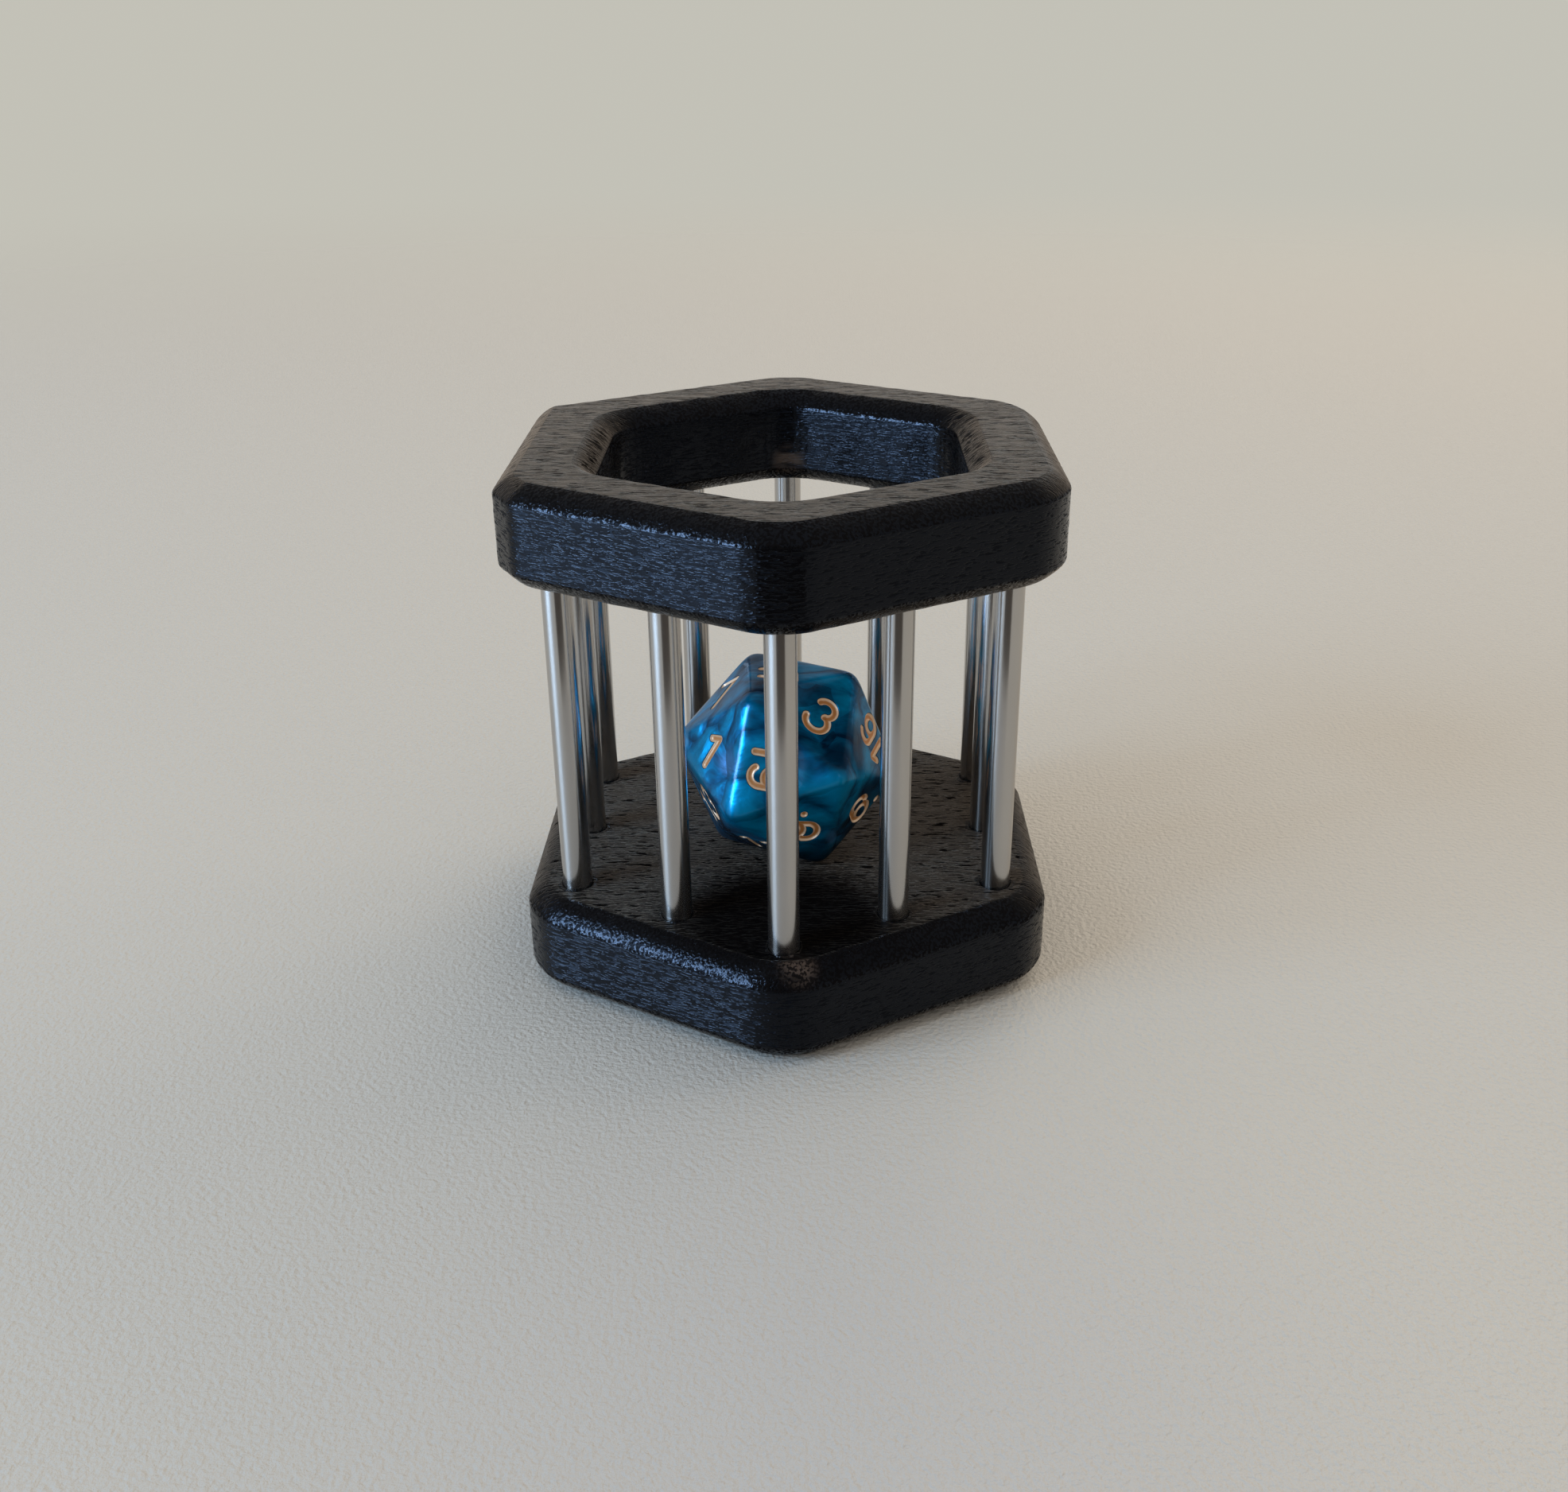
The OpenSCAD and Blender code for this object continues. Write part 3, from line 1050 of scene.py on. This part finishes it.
resin = {
    "deep": (0.0, 0.014, 0.040),
    "teal": (0.0, 0.090, 0.195),
    "bright": (0.0, 0.265, 0.50),
    "silver": (0.055, 0.20, 0.34),
    "lilac": (0.050, 0.15, 0.30),
    "navy": (0.004, 0.007, 0.018),
    "grooveShadeColour": (0.0, 0.003, 0.008),           # painted shade in the grooves above the paint
    "grooveShadeStep": (0.0, 0.6),
    "warp": 5.2 * mm,
    "warpScale": 150.0,
    "warpDetail": 1.5,
    "sheetScale": (120.0, 270.0, 185.0),        # folded sheets of pearl, drawn out along X
    "sheetDepth": 0.90 * mm,
    "creaseWidth": 0.17,
    "foldScale": (210.0, 480.0, 430.0),
    "foldDepth": 0.22 * mm,
    "silkScale": (120.0, 1150.0, 700.0),        # fine threads along the sheets
    # What each pattern adds to the tone, and the colours along it
    "sheetTone": 0.20,
    "foldTone": 0.75,
    "silkTone": 0.45,
    "middleTone": 0.25,
    "creaseTone": 0.17,
    "toneDrop": 0.38,
    "toneColours": ((0.04, "deep"), (0.28, "teal"), (0.60, "bright"), (1.0, "teal")),
    "driftScale": 130.0,
    "silverStep": (0.66, 0.73),                 # in the drift
    "deepStep": (0.26, 0.36),
    "metallic": 0.60,
    "roughness": 0.42,
    "specular": 0.10,
    "glossColour": (0.25, 0.55, 0.75),
    "coatIor": 1.22,
    "coatRoughness": 0.13,
    # Places where the colour is held to one: centre and reach along each axis, in mm, and colour. The
    # first is painted shade, the rest are patches of the swirl
    "swirlAndShadePatches": (
        # painted shade: navy round the die's lower part, where it sits over the black base
        ((1.0, -8.0, 12.0), (9.5, 9.5, 4.4), "navy"),
        ((4.5, -13.6, 22.8), (4.4, 3.0, 1.5), "bright"),
        ((-5.0, -13.0, 20.8), (2.8, 3.0, 3.2), "bright"),
        ((-9.7, -7.8, 22.1), (2.2, 3.0, 2.8), "bright"),
        ((5.2, -11.0, 25.4), (2.6, 3.0, 2.0), "deep"),
        ((-6.3, -10.1, 25.3), (1.9, 2.5, 2.8), "lilac"),
        ((4.6, -10.9, 15.3), (1.3, 1.6, 1.9), "lilac"),
        ((8.9, -7.5, 19.0), (2.8, 3.5, 2.8), "deep"),
        ((7.8, -9.0, 25.6), (2.2, 3.0, 4.5), "deep"),
        ((8.0, -8.6, 16.8), (3.0, 3.2, 1.3), "navy"),
        ((8.4, -7.6, 14.4), (2.6, 3.4, 2.6), "deep"),
    ),
    "patchInner": 0.35,
    "patchShare": 0.85,
}
gold = {
    "colour": (0.50, 0.205, 0.056),
    # paler near the rim: the paint's rim and a painted highlight
    "edge": (0.84, 0.60, 0.40),
    "edgeStep": (0.80, 1.0),                    # in the attribute deep
    "speckScale": 2500.0,
    "speckShare": 0.10,
    "speckDepth": 0.02 * mm,
    "speckStrength": 0.4,
    "metallic": 0.25,
    "roughness": 0.45,
}


# Pearl is drawn out in folded sheets under a clear coat. The sheets are cells of warped space: each has
# its own depth of blue, tilts the metallic layer towards its middle, and is dark at the crease where it
# meets the next
def resinMaterial():
    material, shader, place = newMaterial("pearlResin")
    warp = {"Vector": place, "Scale": resin["warpScale"], "Detail": resin["warpDetail"]}
    push = place.add("TexNoise", {}, warp, out=1)
    push = push.vector("SUBTRACT", (0.5, 0.5, 0.5))
    flowing = place.vector("ADD", push.vector("MULTIPLY", (resin["warp"],) * 3))
    cells = {"Vector": flowing.vector("MULTIPLY", resin["sheetScale"]), "Scale": 1.0}
    toMiddle = place.add("TexVoronoi", {}, cells)
    sheet = place.add("TexVoronoi", {}, cells, out=1)
    sheet = sheet.add("SeparateColor", {}, {0: sheet})
    toEdge = place.add("TexVoronoi", {"feature": "DISTANCE_TO_EDGE"}, cells)
    crease = 1.0 - toEdge.step(0.0, resin["creaseWidth"])
    fold = flowing.noise(resin["foldScale"], detail=3.0, roughness=0.55)
    silk = flowing.noise(resin["silkScale"], detail=3.0, roughness=0.6)
    tone = sheet * resin["sheetTone"] + fold * resin["foldTone"] + silk * resin["silkTone"]
    tone = tone + (1.0 - toMiddle) * resin["middleTone"] - resin["toneDrop"]
    tone = tone - crease * resin["creaseTone"]
    stops = [(position, resin[name]) for position, name in resin["toneColours"]]
    colour = tone.add("ValToRGB", {"stops": stops}, {0: tone})
    drift = flowing.noise((resin["driftScale"],) * 3, roughness=0.6)
    colour = drift.step(*resin["silverStep"]).tint(colour, resin["silver"])
    colour = (1.0 - drift.step(*resin["deepStep"])).tint(colour, resin["deep"])
    for centre, reach, name in resin["swirlAndShadePatches"]:
        offset = flowing.vector("SUBTRACT", [c * mm for c in centre])
        offset = offset.vector("DIVIDE", [r * mm for r in reach])
        patch = offset.near((0, 0, 0), 1.0, resin["patchInner"]) * resin["patchShare"]
        colour = patch.tint(colour, resin[name])
    # painted shade: the grooves above the paint are near-black
    rim = place.add("Attribute", {"attribute_name": "rim"}, {}, out=2).step(*resin["grooveShadeStep"])
    shader.plug({
        "Base Color": rim.tint(colour, resin["grooveShadeColour"]),
        "Normal": fold.bump(resin["foldDepth"], (1.0 - toMiddle).bump(resin["sheetDepth"])),
        "Metallic": resin["metallic"],
        "Roughness": resin["roughness"],
        "Specular IOR Level": resin["specular"],
        "Specular Tint": resin["glossColour"],
        "Coat Weight": 1.0,
        "Coat IOR": resin["coatIor"],
        "Coat Roughness": resin["coatRoughness"],
    })
    return material


# Orange gold, paler towards the rim of the groove: partly the paint's thin rim, partly painted highlight
# where the groove's edge catches the light, with painted shade deeper in
def goldMaterial():
    material, shader, place = newMaterial("goldPaint")
    deep = place.add("Attribute", {"attribute_name": "deep"}, {}, out=2)
    speck = place.noise((gold["speckScale"],) * 3)
    shade = (deep + (speck - 0.5) * gold["speckShare"]).step(*gold["edgeStep"])
    shader.plug({
        "Base Color": shade.tint(gold["edge"], gold["colour"]),
        "Metallic": gold["metallic"],
        "Roughness": gold["roughness"],
        "Normal": speck.bump(gold["speckDepth"], strength=gold["speckStrength"]),
    })
    return material


makeDie(resinMaterial(), goldMaterial())
print("die made")
